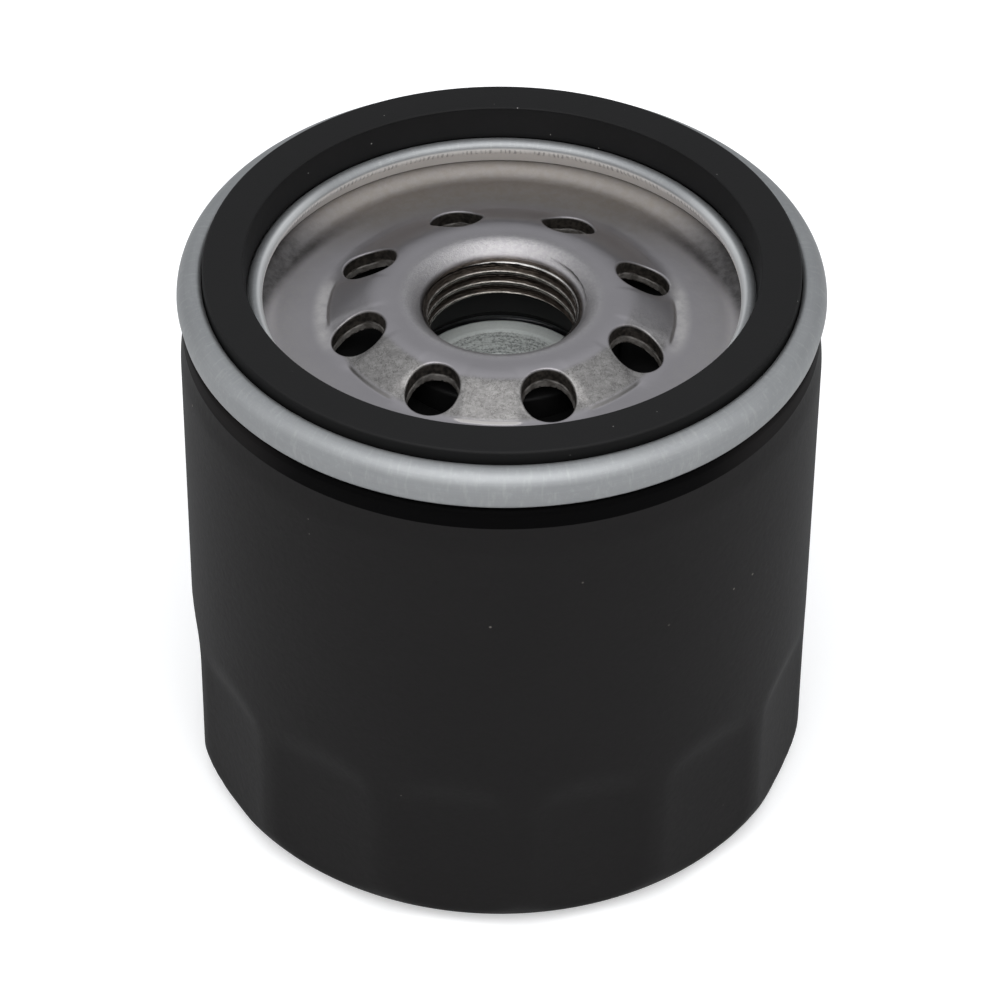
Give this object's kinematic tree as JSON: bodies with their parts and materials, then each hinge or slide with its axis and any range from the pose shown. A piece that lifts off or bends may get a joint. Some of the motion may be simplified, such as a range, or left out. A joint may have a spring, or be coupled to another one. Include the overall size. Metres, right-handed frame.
{
  "type": "spin-on oil filter",
  "caption": "Canister oil filter with a threaded tapping plate, a ring of inlet holes, a rolled seam, a face gasket and wrench flats at its closed end.",
  "frame": {"origin": "centre of the closed end, on the plane the filter stands on", "axes": "+Z along the filter's axis towards the threaded end, +X to the right of the front, +Y away from the front"},
  "size_m": [0.0768, 0.0768, 0.0733],
  "materials": {
    "can_paint": "satin black baked enamel",
    "zinc_sheet": "bright zinc-plated sheet, drawn and rolled",
    "seam_compound": "dull sealing compound",
    "plate_steel": "bare pressed steel, satin, lightly oiled",
    "gasket_rubber": "smooth moulded nitrile",
    "valve_rubber": "moulded nitrile",
    "cap_steel": "plain tinned sheet",
    "potting": "cured potting compound",
    "filter_paper": "resin-treated pleated paper",
    "clip_steel": "plain strip",
    "tube_steel": "galvanised sheet",
    "cage_zinc": "dull zinc-plated sheet",
    "spring_steel": "oiled drawn wire"
  },
  "bodies": {
    "housing": {"can_shell": "can_paint", "retainer_lid": "zinc_sheet", "seam_compound": "seam_compound", "tapping_plate": "plate_steel", "sealing_gasket": "gasket_rubber", "antidrain_neck": "valve_rubber", "element_spring": "spring_steel"},
    "drain_lip": {"antidrain_lip": "valve_rubber"},
    "element": {"upper_end_cap": "cap_steel", "upper_adhesive": "potting", "pleated_media": "filter_paper", "media_clip": "clip_steel", "lower_adhesive": "potting", "lower_end_cap": "cap_steel", "centre_tube": "tube_steel", "bypass_cage": "cage_zinc", "bypass_spring": "spring_steel", "spring_cup": "cap_steel"},
    "bypass_valve": {"bypass_ring": "tube_steel", "bypass_seal": "valve_rubber"}
  },
  "joints": [
    {"name": "element_float", "type": "slide", "parent": "housing", "child": "element", "axis": [0, 0, -1], "range_m": [0, 0.0015], "stiffness_N_per_m": 2500, "springref_m": -0.006, "deforming": ["element_spring"]},
    {"name": "bypass_open", "type": "slide", "parent": "element", "child": "bypass_valve", "axis": [0, 0, -1], "range_m": [0, 0.003], "stiffness_N_per_m": 1200, "springref_m": -0.004, "deforming": ["bypass_spring"]},
    {"name": "antidrain_open", "type": "slide", "parent": "housing", "child": "drain_lip", "axis": [0, 0, -1], "range_m": [0, 0.0013], "stiffness_N_per_m": 150, "springref_m": -0.002}
  ]
}
